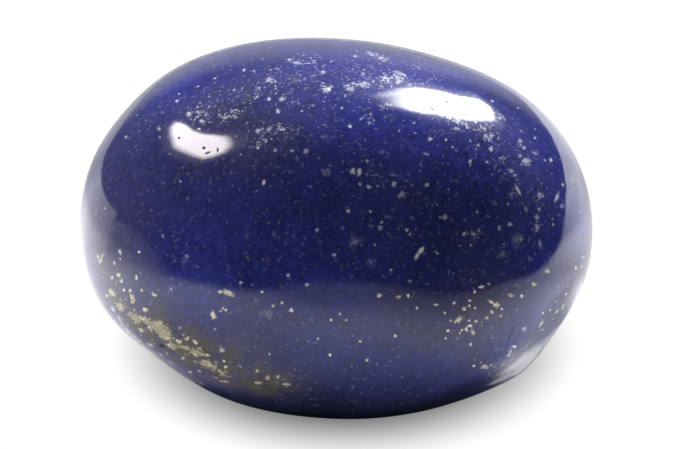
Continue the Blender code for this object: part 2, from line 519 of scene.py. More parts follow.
# %% [markdown]
# A material in Blender is a tree of nodes. Adding each node by hand takes four or five lines, so
# these helpers add one and link it in a single call. They take a tree, which may be a material's,
# a node group's or the world's, and values that are either numbers or the outputs of other nodes.

# %% Helpers for nodes


def put(tree, socket, value):
    """Links a socket to another one, or sets it to a plain value."""
    if isinstance(value, bpy.types.NodeSocket):
        tree.links.new(value, socket)
    else:
        socket.default_value = value


def math_node(tree, operation, first, second=0.0):
    node = tree.nodes.new("ShaderNodeMath")
    node.operation = operation
    put(tree, node.inputs[0], first)
    put(tree, node.inputs[1], second)
    return node.outputs["Value"]


def times(tree, first, second):
    return math_node(tree, "MULTIPLY", first, second)


def plus(tree, first, second):
    return math_node(tree, "ADD", first, second)


def most(tree, *masks):
    """The strongest of some masks."""
    strongest = masks[0]
    for mask in masks[1:]:
        strongest = math_node(tree, "MAXIMUM", strongest, mask)
    return strongest


def vector_node(tree, operation, first, second=(0.0, 0.0, 0.0), output="Vector"):
    node = tree.nodes.new("ShaderNodeVectorMath")
    node.operation = operation
    put(tree, node.inputs[0], first)
    put(tree, node.inputs[1], second)
    return node.outputs[output]


def fade(tree, value, start, end, low=0.0, high=1.0):
    """A smooth step from low at start to high at end."""
    step = tree.nodes.new("ShaderNodeMapRange")
    step.interpolation_type = "SMOOTHSTEP"
    put(tree, step.inputs["Value"], value)
    put(tree, step.inputs["From Min"], start)
    put(tree, step.inputs["From Max"], end)
    step.inputs["To Min"].default_value = low
    step.inputs["To Max"].default_value = high
    return step.outputs["Result"]


def blend(tree, kind, share, first, second):
    """Mixes two colours or two values: all first at share 0, all second at 1."""
    both = tree.nodes.new("ShaderNodeMix")
    both.data_type = {"Color": "RGBA", "Float": "FLOAT"}[kind]
    inputs = {socket.identifier: socket for socket in both.inputs}
    put(tree, inputs["Factor_Float"], share)
    put(tree, inputs[f"A_{kind}"], first)
    put(tree, inputs[f"B_{kind}"], second)
    return {socket.identifier: socket for socket in both.outputs}[f"Result_{kind}"]


def noise_at(tree, place, size, detail, output="Fac"):
    """Noise whose lumps are about the given size, in metres."""
    lumps = tree.nodes.new("ShaderNodeTexNoise")
    lumps.inputs["Scale"].default_value = 1.0 / size
    lumps.inputs["Detail"].default_value = detail
    tree.links.new(place, lumps.inputs["Vector"])
    return lumps.outputs[output]


def warped(tree, place, size):
    """The place, pushed about by noise, which makes the outlines of flecks ragged."""
    push = noise_at(tree, place, size, 1.0, "Color")
    push = vector_node(tree, "SUBTRACT", push, (0.5, 0.5, 0.5))
    push = vector_node(tree, "MULTIPLY", push, (size, size, size))
    return vector_node(tree, "ADD", place, push)


def attribute(tree, name, output="Fac"):
    """What the skin carries under a name."""
    painted = tree.nodes.new("ShaderNodeAttribute")
    painted.attribute_name = name
    return painted.outputs[output]


def mask_group(name, **inputs):
    """An empty node group with named inputs and one mask that it puts out."""
    group = bpy.data.node_groups.new(name, "ShaderNodeTree")
    for socket, kind in inputs.items():
        group.interface.new_socket(socket, in_out="INPUT", socket_type="NodeSocket" + kind)
    group.interface.new_socket("Mask", in_out="OUTPUT", socket_type="NodeSocketFloat")
    return group, group.nodes.new("NodeGroupInput"), group.nodes.new("NodeGroupOutput")


# %% [markdown]
# The material reads the painted marks back. The length of a mark's coordinate, made uneven by
# noise, is compared with one, and the strength says how bright the mark is. All the kinds of
# marks are read in the same way, so this is a node group: built once, and used with other values
# for each kind.

# %% Reading the painted marks
# Where each kind's marks start to show and where they are full, as shares of their half size.
MARK_EDGES = {
    "calcite": (1.5, 0.1),
    "calcite_clusters": (1.3, 0.4),
    "calcite_haze": (1.3, 0.0),
    "pyrite": (1.4, 0.4),
    "pyrite_clusters": (1.3, 0.4),
    "olive": (1.4, 0.2),
    "pits": (1.3, 0.4),
    "glints": (1.25, 0.4),
}


def painted_marks_group():
    group, given, result = mask_group(
        "painted_marks", Near="Vector", Next="Vector", Uneven="Float", Outer="Float", Inner="Float"
    )
    masks = []
    for layer in ("Near", "Next"):
        flat = vector_node(group, "MULTIPLY", given.outputs[layer], (1.0, 1.0, 0.0))
        away = vector_node(group, "LENGTH", flat, output="Value")
        away = plus(group, away, given.outputs["Uneven"])
        inside = fade(group, away, given.outputs["Outer"], given.outputs["Inner"])
        parts = group.nodes.new("ShaderNodeSeparateXYZ")
        group.links.new(given.outputs[layer], parts.inputs["Vector"])
        masks.append(times(group, inside, parts.outputs["Z"]))
    group.links.new(most(group, *masks), result.inputs["Mask"])
    return group


marks_group = painted_marks_group()
print("nodes that read marks:", len(marks_group.nodes))


def marks(tree, name, uneven):
    """The mask of one kind of marks, whose outlines are as uneven as a noise, or as zero."""
    outer, inner = MARK_EDGES[name]
    reader = tree.nodes.new("ShaderNodeGroup")
    reader.node_tree = marks_group
    for layer in ("near", "next"):
        tree.links.new(attribute(tree, f"{name}_{layer}", "Vector"), reader.inputs[layer.title()])
    put(tree, reader.inputs["Uneven"], uneven)
    reader.inputs["Outer"].default_value = outer
    reader.inputs["Inner"].default_value = inner
    return reader.outputs["Mask"]


# %% [markdown]
# Thousands of flecks are too small to list. Small meshes would be far too many, so Voronoi cells
# scatter them in the material: every cell may hold one fleck at its point, and three random
# numbers of the cell say whether it does, how big the fleck is and how bright. Calcite, pyrite
# and pits all use this, so it is a node group.

# %% Scattered flecks
# The smallest and the faintest fleck, as shares of the largest and the brightest.
SMALLEST_FLECK = 0.35
FAINTEST_FLECK = 0.35
# A fleck is solid out to this share of its radius, and fades from there.
SOLID_FLECK = 0.55
# Each kind's cell size in millimetres, its largest radius as a share of the cell, and strength.
FLECKS = {
    "fine_calcite": (0.32, 0.4, 0.7),
    "calcite_specks": (0.8, 0.2, 1.0),
    "pyrite_dust": (0.32, 0.4, 0.8),
    "pits": (1.7, 0.09, 0.6),
}


def scattered_flecks_group():
    group, given, result = mask_group(
        "scattered_flecks", Place="Vector", Scale="Float", Size="Float", Share="Float"
    )
    cells = group.nodes.new("ShaderNodeTexVoronoi")
    group.links.new(given.outputs["Place"], cells.inputs["Vector"])
    group.links.new(given.outputs["Scale"], cells.inputs["Scale"])
    chance = group.nodes.new("ShaderNodeSeparateColor")
    group.links.new(cells.outputs["Color"], chance.inputs["Color"])
    there = math_node(group, "LESS_THAN", chance.outputs["Red"], given.outputs["Share"])
    size = fade(group, chance.outputs["Green"], 0.0, 1.0, SMALLEST_FLECK, 1.0)
    radius = times(group, size, given.outputs["Size"])
    reached = math_node(group, "DIVIDE", cells.outputs["Distance"], radius)
    blob = fade(group, reached, 1.0, SOLID_FLECK)
    bright = fade(group, chance.outputs["Blue"], 0.0, 1.0, FAINTEST_FLECK, 1.0)
    mask = times(group, times(group, blob, there), bright)
    group.links.new(mask, result.inputs["Mask"])
    return group


flecks_group = scattered_flecks_group()
print("nodes that scatter flecks:", len(flecks_group.nodes))


def flecks(tree, place, name, share):
    """One kind of scattered flecks, in a share of its cells."""
    cell, size, strength = FLECKS[name]
    scatter = tree.nodes.new("ShaderNodeGroup")
    scatter.node_tree = flecks_group
    tree.links.new(place, scatter.inputs["Place"])
    scatter.inputs["Scale"].default_value = 1.0 / (cell * MM)
    scatter.inputs["Size"].default_value = size
    put(tree, scatter.inputs["Share"], share)
    return times(tree, scatter.outputs["Mask"], strength)


# %% [markdown]
# Some parts of the pebble hold more of one mineral than others, and some take more light than
# others. A soft cloud is a place with a reach, and clouds say where the blue is brighter or duller,
# which is partly its own tone and partly painted light and shade, where the underside is darkened
# as painted shade, where the pale corner takes a painted reflection, where calcite flecks crowd and
# where the rock turns brown and holds the pyrite vein. They are as wide as many faces, so each
# point of the skin carries their sum as one number, which costs the material one node.

# %% Clouds
# Pixel across and down, reach in pixels and strength.
CLOUDS = {
    # Partly the rock's own brighter tone and partly painted light, where the top and the upper right
    # take more of the lamps' light.
    "brighter_and_painted_light": [
        (520, 150, 130, 0.5), (400, 75, 120, 0.4), (560, 240, 60, 0.15), (300, 75, 60, 0.1),
        (578, 220, 50, 0.8), (400, 190, 110, 0.06), (280, 255, 90, 0.15), (200, 288, 50, 0.3),
        (500, 75, 60, 0.5), (430, 70, 60, 0.25), (180, 85, 50, 0.3),
    ],
    # Partly the rock's greyer tone and partly painted shade, where the left side and the lower front
    # take less light.
    "duller_and_painted_shade": [
        (120, 190, 120, 0.9), (250, 150, 80, 0.6), (195, 165, 70, 0.5), (210, 110, 70, 0.3),
        (120, 260, 80, 0.7), (240, 70, 60, 0.3), (480, 290, 90, 0.5), (400, 300, 70, 0.3),
    ],
    # Painted shade: the underside and the lower front are darkened in the colour, where the table's
    # light hardly reaches.
    "painted_shade": [
        (330, 412, 120, 0.9), (240, 402, 70, 0.6), (430, 405, 80, 0.8), (490, 378, 30, 0.7),
        (440, 290, 90, 0.35), (500, 290, 60, 0.3), (420, 388, 60, 0.4), (520, 352, 30, 0.4),
        (470, 370, 40, 0.3),
    ],
    "dark_rock": [
        (235, 112, 65, 0.6), (290, 140, 55, 0.5), (190, 170, 50, 0.3), (505, 175, 70, 0.45),
        (430, 190, 70, 0.4), (475, 125, 40, 0.4), (355, 165, 40, 0.3), (120, 120, 60, 0.4),
        (200, 350, 60, 0.8), (150, 315, 50, 0.5), (495, 372, 24, 0.8),
    ],
    "calcite_crowds": [
        (330, 75, 110, 0.75), (420, 80, 100, 0.85), (205, 112, 60, 0.7), (500, 125, 80, 0.7),
        (535, 190, 80, 0.5), (255, 85, 80, 0.5), (450, 120, 50, 0.6), (390, 180, 90, 0.25),
        (150, 120, 70, 0.4), (480, 250, 90, 0.2), (250, 140, 60, 0.5), (515, 362, 26, 0.9),
        (100, 300, 60, 0.3), (128, 332, 30, 0.9), (155, 355, 30, 0.9), (182, 375, 30, 0.8),
        (300, 130, 60, 0.4),
    ],
    "brown_rock": [
        (165, 342, 55, 0.9), (205, 362, 52, 0.95), (245, 382, 48, 0.85), (132, 322, 42, 0.7),
        (112, 292, 34, 0.6), (100, 262, 30, 0.4), (280, 385, 45, 0.7), (190, 335, 36, 0.4),
        (160, 312, 30, 0.5), (240, 355, 50, 0.5), (480, 312, 60, 0.2),
    ],
    "pyrite_crowds": [
        (125, 300, 42, 0.5), (160, 333, 40, 0.7), (205, 362, 40, 0.6), (490, 315, 60, 0.1),
        (550, 310, 45, 0.25), (500, 366, 30, 0.5), (275, 382, 30, 0.4), (235, 382, 34, 0.4),
    ],
    # Partly pale rock and partly a painted reflection of the bright sheet, which this corner faces at
    # a grazing angle.
    "corner_and_reflection": [
        (556, 332, 28, 0.6), (546, 343, 34, 0.7), (533, 354, 34, 0.7), (522, 362, 34, 0.7),
        (512, 368, 30, 0.6), (528, 364, 30, 0.7), (515, 373, 27, 0.6), (499, 380, 22, 0.8),
        (514, 360, 46, 0.4),
    ],
}

# %% Clouds on the hidden sides
# Azimuth and elevation in degrees, reach in pixels and strength.
HIDDEN_CLOUDS = {
    # Partly the rock's own tone and partly painted light on the upper hidden sides.
    "brighter_and_painted_light": [(120, 25, 150, 0.4), (180, 45, 150, 0.3), (-150, 10, 110, 0.2)],
    # Partly the rock's greyer tone and partly painted shade.
    "duller_and_painted_shade": [(-120, 5, 130, 0.7), (170, -20, 110, 0.4)],
    # Painted shade under the pebble on the hidden sides.
    "painted_shade": [(180, -60, 130, 0.8), (90, -60, 120, 0.8), (-90, -65, 110, 0.7)],
    "dark_rock": [(160, 5, 90, 0.5), (-170, 35, 70, 0.5), (110, 0, 80, 0.4)],
    "calcite_crowds": [(145, 30, 130, 0.55), (-150, 45, 110, 0.45), (-175, 5, 110, 0.3)],
    "brown_rock": [
        (-108, -24, 60, 0.6), (-130, -14, 60, 0.55), (-155, -10, 60, 0.5), (175, -24, 60, 0.4),
    ],
    "pyrite_crowds": [(-108, -24, 50, 0.5), (-130, -12, 50, 0.4), (-155, -8, 50, 0.4)],
}

# %% Painting the clouds
# A cloud fainter than this isn't counted as covering a point.
HARDLY_THERE = 0.05


def paint_clouds(mesh, name):
    """Writes the sum of some soft clouds to each point of the skin."""
    spots = [(on_stone(x, y)[0], reach, strength) for x, y, reach, strength in CLOUDS[name]]
    for azimuth, elevation, reach, strength in HIDDEN_CLOUDS.get(name, ()):
        spots.append((from_outside(azimuth, elevation)[0], reach, strength))
    places = np.empty(3 * len(mesh.vertices))
    mesh.vertices.foreach_get("co", places)
    places = places.reshape(-1, 3)
    total = np.zeros(len(places))
    for middle, reach, strength in spots:
        away = np.linalg.norm(places - np.array(middle), axis=1)
        share = np.clip(1.0 - away / (reach * pixel), 0.0, 1.0)
        total += strength * share * share * (3.0 - 2.0 * share)
    mesh.attributes.new(name, "FLOAT", "POINT").data.foreach_set("value", total)
    print(name, "covers", round(100 * float((total > HARDLY_THERE).mean())), "percent")


for name in CLOUDS:
    paint_clouds(stone_mesh, name)

# %% [markdown]
# Noise makes the rest of the rock. A plain pattern is noise between two limits. A crowding pattern
# has its noise raised by a mask first, so more of it passes the limits where the mask is strong,
# and single specks grow together into patches there as they do in the stone.

# %% Patterns of the rock
# Size of the lumps in millimetres, detail, the noise where the pattern starts and where it is
# full, and what it gives at each.
PATTERNS = {
    "wide": (6.0, 2.0, 0.35, 0.65, 0.0, 1.0),
    "lumps": (1.1, 3.0, 0.32, 0.68, 0.0, 1.0),
    "grains": (0.17, 2.0, 0.32, 0.68, 0.0, 1.0),
    "uneven": (0.14, 2.0, 0.3, 0.7, -0.35, 0.35),
    "torn": (0.45, 3.0, 0.3, 0.7, -0.5, 0.5),
    "streaks": (2.4, 2.0, 0.42, 0.62, 0.0, 0.15),
    "haze": (0.2, 2.0, 0.35, 0.7, 0.1, 0.4),
}
# Size in millimetres, detail, how much the mask raises the noise, where the pattern starts and
# is full, and how strong it is there.
CROWDING = {
    "dark_speckle": (0.3, 3.0, 0.25, 0.56, 0.8, 0.75),
    "mottle": (0.26, 2.0, 0.1, 0.6, 0.86, 0.3),
    "tiny_calcite": (0.18, 2.0, 0.18, 0.79, 0.9, 0.85),
    "pyrite_powder": (0.2, 2.0, 0.22, 0.8, 0.93, 0.75),
    "bright_gold": (0.24, 3.0, -0.12, 0.38, 0.54, 1.0),
}


def pattern(tree, place, name):
    """A plain pattern of the rock."""
    size, detail, *ends = PATTERNS[name]
    return fade(tree, noise_at(tree, place, size * MM, detail), *ends)


def crowding(tree, place, name, mask):
    """A pattern that crowds where a mask is strong."""
    size, detail, raised, start, full, strength = CROWDING[name]
    level = plus(tree, noise_at(tree, place, size * MM, detail), times(tree, mask, raised))
    return fade(tree, level, start, full, 0.0, strength)


print("patterns of the rock:", len(PATTERNS) + len(CROWDING))

# %% [markdown]
# Polished lapis is a clear dark blue with a gloss like glass. One flat blue would look like
# plastic, so the ground is laid in coats, as a painter would do it: clouds of brighter and duller
# blue, which are partly painted light and shade, lumps of a millimetre, single grains, painted
# shade on the underside, dark speckle, and brown where the vein runs. Every coat is a mask that
# lays one colour over what is there.

# %% The blue ground
DEEP_BLUE = (0.014, 0.020, 0.115, 1.0)
CLEAR_BLUE = (0.040, 0.050, 0.33, 1.0)
# A greyer blue: partly the rock's own and partly painted shade on the left and the lower front.
DULL_SHADED_BLUE = (0.043, 0.041, 0.140, 1.0)
# Painted shade: the dark blue that the underside and the lower front are darkened to.
PAINTED_SHADE_BLUE = (0.008, 0.010, 0.045, 1.0)
DARK = (0.012, 0.013, 0.040, 1.0)
BROWN = (0.088, 0.080, 0.070, 1.0)
# How much each pattern clears the blue, and what is taken off their sum.
CLEARED_BY = {"wide": 0.25, "lumps": 0.25, "grains": 0.34}
CLEARED_LESS = 0.06
# How strongly the dull and the brown coats cover where a pattern is nothing and where it is full.
DULL_IN_GRAINS = (1.25, 0.5)
BROWN_IN_LUMPS = (0.6, 1.3)
BROWN_IN_GRAINS = (1.1, 0.75)


def over(tree, mask, colour, top):
    """A coat of another colour over a colour, where the mask says."""
    return blend(tree, "Color", mask, colour, top)


def blue_ground(tree, place, ragged):
    patterns = {name: pattern(tree, place, name) for name in CLEARED_BY}
    # The brighter clouds: partly the rock's own tone and partly painted light on the top and the upper
    # right.
    tone = plus(tree, attribute(tree, "brighter_and_painted_light"), -CLEARED_LESS)
    for name, share in CLEARED_BY.items():
        tone = plus(tree, tone, times(tree, patterns[name], share))
    colour = over(tree, tone, DEEP_BLUE, CLEAR_BLUE)
    # Duller blue: partly the rock's greyer tone and partly painted shade on the left and the lower
    # front.
    dull = fade(tree, patterns["grains"], 0.0, 1.0, *DULL_IN_GRAINS)
    colour = over(tree, times(tree, attribute(tree, "duller_and_painted_shade"), dull), colour, DULL_SHADED_BLUE)
    # Painted shade darkens the underside and the lower front.
    colour = over(tree, attribute(tree, "painted_shade"), colour, PAINTED_SHADE_BLUE)
    speckle = crowding(tree, ragged, "dark_speckle", attribute(tree, "dark_rock"))
    colour = over(tree, speckle, colour, DARK)
    brown = fade(tree, patterns["lumps"], 0.0, 1.0, *BROWN_IN_LUMPS)
    brown = times(tree, brown, fade(tree, patterns["grains"], 0.0, 1.0, *BROWN_IN_GRAINS))
    brown = times(tree, brown, attribute(tree, "brown_rock"))
    return over(tree, brown, colour, BROWN)


# %% [markdown]
# Calcite is the white in lapis. It lies in flecks, in clusters of tiny flecks and as a thin veil
# that greys the blue. All of them are one mineral and take the same polish, so their masks become
# one mask. The lower right corner is paler over a wide patch with a soft border: partly a body of
# pale rock and partly a painted reflection of the bright sheet, which it faces at a grazing angle.

# %% Calcite in the material
CALCITE_WHITE = (0.72, 0.74, 0.88, 1.0)
# Nearly white: partly pale rock and partly a painted reflection of the bright sheet.
CORNER_LILAC_AND_REFLECTION = (0.92, 0.92, 1.0, 1.0)
# The share of the cells that hold a fleck where the crowd is one, and outside any crowd.
FINE_SHARE = 0.16
SPECK_SHARE = 0.6
SPECKS_ANYWHERE = 0.02
# How white the thin veil is in a full crowd.
VEIL = 0.05
# How much the pale corner's border is torn, and where it starts and ends.
CORNER_TORN = 0.25
CORNER_EDGE = (0.05, 1.05)


def calcite_mask(tree, place, ragged, uneven, torn):
    crowd = attribute(tree, "calcite_crowds")
    share = plus(tree, pattern(tree, place, "streaks"), crowd)
    share = plus(tree, share, marks(tree, "calcite_clusters", torn))
    specks = plus(tree, times(tree, share, SPECK_SHARE), SPECKS_ANYWHERE)
    haze = marks(tree, "calcite_haze", torn)
    return most(
        tree,
        crowding(tree, place, "mottle", share),
        crowding(tree, place, "tiny_calcite", share),
        flecks(tree, ragged, "fine_calcite", times(tree, share, FINE_SHARE)),
        flecks(tree, ragged, "calcite_specks", specks),
        times(tree, haze, pattern(tree, place, "haze")),
        fade(tree, crowd, 0.0, 1.0, 0.0, VEIL),
        marks(tree, "calcite", uneven),
    )


# The pale corner: partly pale rock and partly a painted reflection of the bright sheet.
def corner_and_reflection_mask(tree, torn):
    edge = plus(tree, attribute(tree, "corner_and_reflection"), times(tree, torn, CORNER_TORN))
    return fade(tree, edge, *CORNER_EDGE)


# %% [markdown]
# Pyrite is a metal-bright mineral, but its grains here are tiny and scratched by the tumbling, so
# they look more like pale brass paint than like mirrors. Their colour runs between a dull and a
# bright gold, and only a little of it is metallic. Pits are the opposite: dark, rough and a bit
# deeper than the polish, which a bump shows well enough at this size. Their dark colour, and that
# of the cracks, is painted shade in the hollow.

# %% Pyrite and pits in the material
PYRITE_GOLD = (0.90, 0.85, 0.70, 1.0)
DULL_GOLD = (0.42, 0.38, 0.25, 1.0)
OLIVE = (0.13, 0.13, 0.07, 1.0)
OLIVE_STRENGTH = 0.5
# Painted shade in the pits and along the cracks.
PIT_PAINTED_SHADE = (0.008, 0.009, 0.02, 1.0)
# Near white for the brightest flecks: partly calcite and partly a painted glint.
PAINTED_GLINT_WHITE = (0.97, 0.97, 0.96, 1.0)
# The share of the cells that hold a grain of dust where the crowd is one, or a pit anywhere.
DUST_SHARE = 0.25
PIT_SHARE = 0.12
# A listed grain covers what is under it fully from this strength on.
GRAIN_FULL = 0.75
PIT_STRENGTH = 0.9


def pyrite_mask_and_gold(tree, place, ragged, uneven, torn):
    cluster = marks(tree, "pyrite_clusters", torn)
    crowd = plus(tree, attribute(tree, "pyrite_crowds"), cluster)
    mask = most(
        tree,
        fade(tree, marks(tree, "pyrite", uneven), 0.0, GRAIN_FULL),
        flecks(tree, ragged, "pyrite_dust", times(tree, crowd, DUST_SHARE)),
        crowding(tree, place, "pyrite_powder", crowd),
    )
    return mask, over(tree, crowding(tree, place, "bright_gold", crowd), DULL_GOLD, PYRITE_GOLD)


def pit_mask(tree, ragged):
    listed = times(tree, marks(tree, "pits", 0.0), PIT_STRENGTH)
    return most(tree, listed, flecks(tree, ragged, "pits", PIT_SHARE))


# %% [markdown]
# The lapis itself lays the coats in order: ground, calcite, pale corner with its painted
# reflection, olive patches, pyrite, the brightest flecks with their painted glint, and pits with
# their painted shade. The same masks steer the gloss, so what is white is also a little softer,
# and what is gold scatters the light more.

# %% The lapis
# How far noise pushes the outlines of flecks about, and how large its lumps are.
RAGGED = 0.16 * MM
# Roughness of the blue, the calcite, the pyrite and the pits, and how metallic the pyrite is.
POLISH = 0.06
SOFTER_POLISH = 0.16
PYRITE_POLISH = 0.38
PYRITE_METAL = 0.12
PIT_ROUGH = 0.9
PIT_DEPTH = 0.03 * MM
PIT_BUMP = 0.35
LAPIS_IOR = 1.5


def lapis_material():
    material = bpy.data.materials.new("lapis")
    material.use_nodes = True
    tree = material.node_tree
    shader = tree.nodes["Principled BSDF"]
    place = tree.nodes.new("ShaderNodeTexCoord").outputs["Object"]
    ragged = warped(tree, place, RAGGED)
    uneven = pattern(tree, place, "uneven")
    torn = pattern(tree, place, "torn")

    calcite = calcite_mask(tree, place, ragged, uneven, torn)
    pyrite, gold = pyrite_mask_and_gold(tree, place, ragged, uneven, torn)
    pits = pit_mask(tree, ragged)
    colour = blue_ground(tree, place, ragged)
    for mask, top in (
        (calcite, CALCITE_WHITE),
        (corner_and_reflection_mask(tree, torn), CORNER_LILAC_AND_REFLECTION),
        (times(tree, marks(tree, "olive", uneven), OLIVE_STRENGTH), OLIVE),
        (pyrite, gold),
        (marks(tree, "glints", 0.0), PAINTED_GLINT_WHITE),
        (pits, PIT_PAINTED_SHADE),
    ):
        colour = over(tree, mask, colour, top)
    tree.links.new(colour, shader.inputs["Base Color"])

    rough = POLISH
    for mask, roughness in ((calcite, SOFTER_POLISH), (pyrite, PYRITE_POLISH), (pits, PIT_ROUGH)):
        rough = blend(tree, "Float", mask, rough, roughness)
    tree.links.new(rough, shader.inputs["Roughness"])
    tree.links.new(times(tree, pyrite, PYRITE_METAL), shader.inputs["Metallic"])
    relief = tree.nodes.new("ShaderNodeBump")
    relief.inputs["Distance"].default_value = PIT_DEPTH
    relief.inputs["Strength"].default_value = PIT_BUMP
    tree.links.new(times(tree, pits, -1.0), relief.inputs["Height"])
    tree.links.new(relief.outputs["Normal"], shader.inputs["Normal"])
    shader.inputs["IOR"].default_value = LAPIS_IOR
    print("lapis nodes:", len(tree.nodes))
    return material


stone_mesh.materials.append(lapis_material())

# %% [markdown]
# The stage has a white sheet and two softboxes, and the gloss shows them all. Blender's own area
# lamps are plain squares or ovals, so here a softbox is a glowing mesh instead. It is cut to the
# shape that its highlight has: a ray goes from the camera to each corner of the highlight,
# bounces off the polish and ends on the softbox. The same rays find how far the white sheet
# reaches towards the camera, where its picture in the stone ends.

# %% Where the gloss looks
# Corners of the two highlights: pixel across, pixel down and share of the lamp's brightness.
LEFT_HIGHLIGHT = [
    (176, 122, 1.0), (171, 127, 1.0), (170, 134, 1.0), (173, 145, 1.0), (179, 150, 1.0),
    (190, 155, 1.0), (204, 159, 1.0), (213, 158, 1.0), (224, 153, 1.0), (231, 148, 1.0),
    (233, 143, 1.0), (228, 138, 1.0), (218, 135, 1.0), (204, 134, 1.0), (195, 130, 1.0),
    (186, 125, 1.0),
]
RIGHT_HIGHLIGHT = [
    (374, 98, 0.1), (397, 90, 0.5), (420, 89, 1.0), (440, 91, 1.0), (458, 97, 1.0),
    (480, 101, 1.0), (489, 107, 1.0), (494, 114, 1.0), (494, 120, 1.0), (480, 120, 1.0),
    (465, 118, 1.0), (449, 116, 1.0), (436, 115, 1.0), (422, 112, 1.0), (407, 109, 0.6),
    (388, 106, 0.25),
]


def gloss_looks(x, y):
    """The point that a pixel shows on the stone, and the way its reflection looks from there."""
    point, normal = on_stone(x, y)
    sight = ray_through(x, y)
    return point, sight - 2.0 * sight.dot(normal) * normal


def meets_plane(point, way, plane_point, plane_normal):
    return point + way * (plane_point - point).dot(plane_normal) / way.dot(plane_normal)


for highlight in (LEFT_HIGHLIGHT, RIGHT_HIGHLIGHT):
    x, y, share = highlight[0]
    print("a corner at", (x, y), "looks", [round(part, 2) for part in gloss_looks(x, y)[1]])

# %% Things of the stage


def stage_thing(name, shape, material):
    """Links a finished bmesh as a thing of the stage, which isn't part of the object."""
    mesh = bpy.data.meshes.new(name)
    shape.to_mesh(mesh)
    shape.free()
    mesh.materials.append(material)
    thing = bpy.data.objects.new(name, mesh)
    bpy.context.scene.collection.objects.link(thing)
    return thing


def new_material(name):
    """A material with an empty tree, and the surface socket that its shader goes into."""
    material = bpy.data.materials.new(name)
    material.use_nodes = True
    tree = material.node_tree
    tree.nodes.clear()
    return material, tree, tree.nodes.new("ShaderNodeOutputMaterial").inputs["Surface"]


def glowing(tree, strength, colour=(1.0, 1.0, 1.0)):
    glow = tree.nodes.new("ShaderNodeEmission")
    glow.inputs["Color"].default_value = (*colour, 1.0)
    put(tree, glow.inputs["Strength"], strength)
    return glow.outputs["Emission"]


def lamp_glow(name, colour, strength):
    """Light whose strength is scaled by the shares that the lamp's corners carry."""
    material, tree, surface_socket = new_material(name)
    brightness = times(tree, attribute(tree, "share"), strength)
    tree.links.new(glowing(tree, brightness, colour), surface_socket)
    return material


# %% The two softboxes
SOFTBOX_DISTANCE = 1.2
LEFT_COLOUR, LEFT_STRENGTH = (1.0, 0.94, 0.92), 19.5
RIGHT_COLOUR, RIGHT_STRENGTH = (1.0, 1.0, 1.0), 38.0
# Rings of the diffuser, from its outline inwards: size along, size across and share of the
# brightness. Past the lamp's own outline the diffuser only glows faintly.
DIFFUSER_RINGS = ((1.25, 2.0, 0.0), (1.05, 1.14, 0.05), (0.86, 0.74, 1.0))


def softbox(name, highlight, colour, strength):
    """A lamp whose reflection fills one highlight's outline."""
    looks = [gloss_looks(x, y) for x, y, share in highlight]
    middle = sum((way for point, way in looks), Vector()).normalized()
    centre = PEBBLE_MIDDLE + middle * SOFTBOX_DISTANCE
    shape = bmesh.new()
    share_of = shape.verts.layers.float.new("share")
    outline = []
    for (point, way), (x, y, share) in zip(looks, highlight):
        outline.append(shape.verts.new(meets_plane(point, way, centre, middle)))
        outline[-1][share_of] = share
    face = bmesh.ops.contextual_create(shape, geom=outline)["faces"][0]
    heart = face.calc_center_median()
    along = (max(outline, key=lambda vert: (vert.co - heart).length).co - heart).normalized()
    frame_of = Matrix((along, middle.cross(along), middle)).to_4x4() @ Matrix.Translation(-heart)
    rings = [list(face.verts)]
    for ring in DIFFUSER_RINGS[1:]:
        bmesh.ops.inset_individual(shape, faces=[face], thickness=0.0)
        rings.append(list(face.verts))
    for verts, (size, width, share) in zip(rings, DIFFUSER_RINGS):
        bmesh.ops.scale(shape, vec=Vector((size, width, 1.0)), space=frame_of, verts=verts)
        for vert in verts:
            vert[share_of] *= share
    box = stage_thing(name, shape, lamp_glow(name, colour, strength))
    box.visible_camera = False
    return box


left_softbox = softbox("left_softbox", LEFT_HIGHLIGHT, LEFT_COLOUR, LEFT_STRENGTH)
right_softbox = softbox("right_softbox", RIGHT_HIGHLIGHT, RIGHT_COLOUR, RIGHT_STRENGTH)
for box in (left_softbox, right_softbox):
    print(box.name, "starts at m:", [round(part, 2) for part in box.data.vertices[0].co])

# %% [markdown]
# The photograph's background is cut out to plain white, with a soft oval shadow put under the
# stone afterwards. The stone itself still mirrors the real sheet that it was taken on. So there
# are two sheets. The camera sees one that glows evenly and darkens in one oval below the stone.
# The stone's gloss and underside see the other, which has the pools of light of the real table.

# %% The sheet that the camera sees
SHEET_HALF = 3.0
SHEET_BRIGHT = 1.04
# The oval shadow in millimetres: its middle and its half sizes where it is darkest. Then how far
# it fades out as a share of them, and what it keeps of the sheet's brightness. The picture has
# it a little behind the stone, as if all the light came from high in front.
SHADOW_MIDDLE = Vector((0.54, 10.0, 0.0))
SHADOW_HALVES = (8.04, 12.0)
SHADOW_FADE = 0.9
SHADOW_LEVEL = 0.146


def square(half, height):
    shape = bmesh.new()
    bmesh.ops.create_grid(shape, x_segments=1, y_segments=1, size=half)
    bmesh.ops.translate(shape, vec=(0.0, 0.0, height), verts=shape.verts)
    return shape


def seen_paper():
    material, tree, surface_socket = new_material("seen_paper")
    material.cycles.emission_sampling = "NONE"
    place = tree.nodes.new("ShaderNodeTexCoord").outputs["Object"]
    flatten = [1.0 / (half * MM) for half in SHADOW_HALVES] + [0.0]
    from_middle = vector_node(tree, "SUBTRACT", place, SHADOW_MIDDLE * MM)
    from_middle = vector_node(tree, "MULTIPLY", from_middle, flatten)
    away = vector_node(tree, "LENGTH", from_middle, output="Value")
    level = fade(tree, away, 1.0, 1.0 + SHADOW_FADE, SHEET_BRIGHT * SHADOW_LEVEL, SHEET_BRIGHT)
    tree.links.new(glowing(tree, level), surface_socket)
    return material


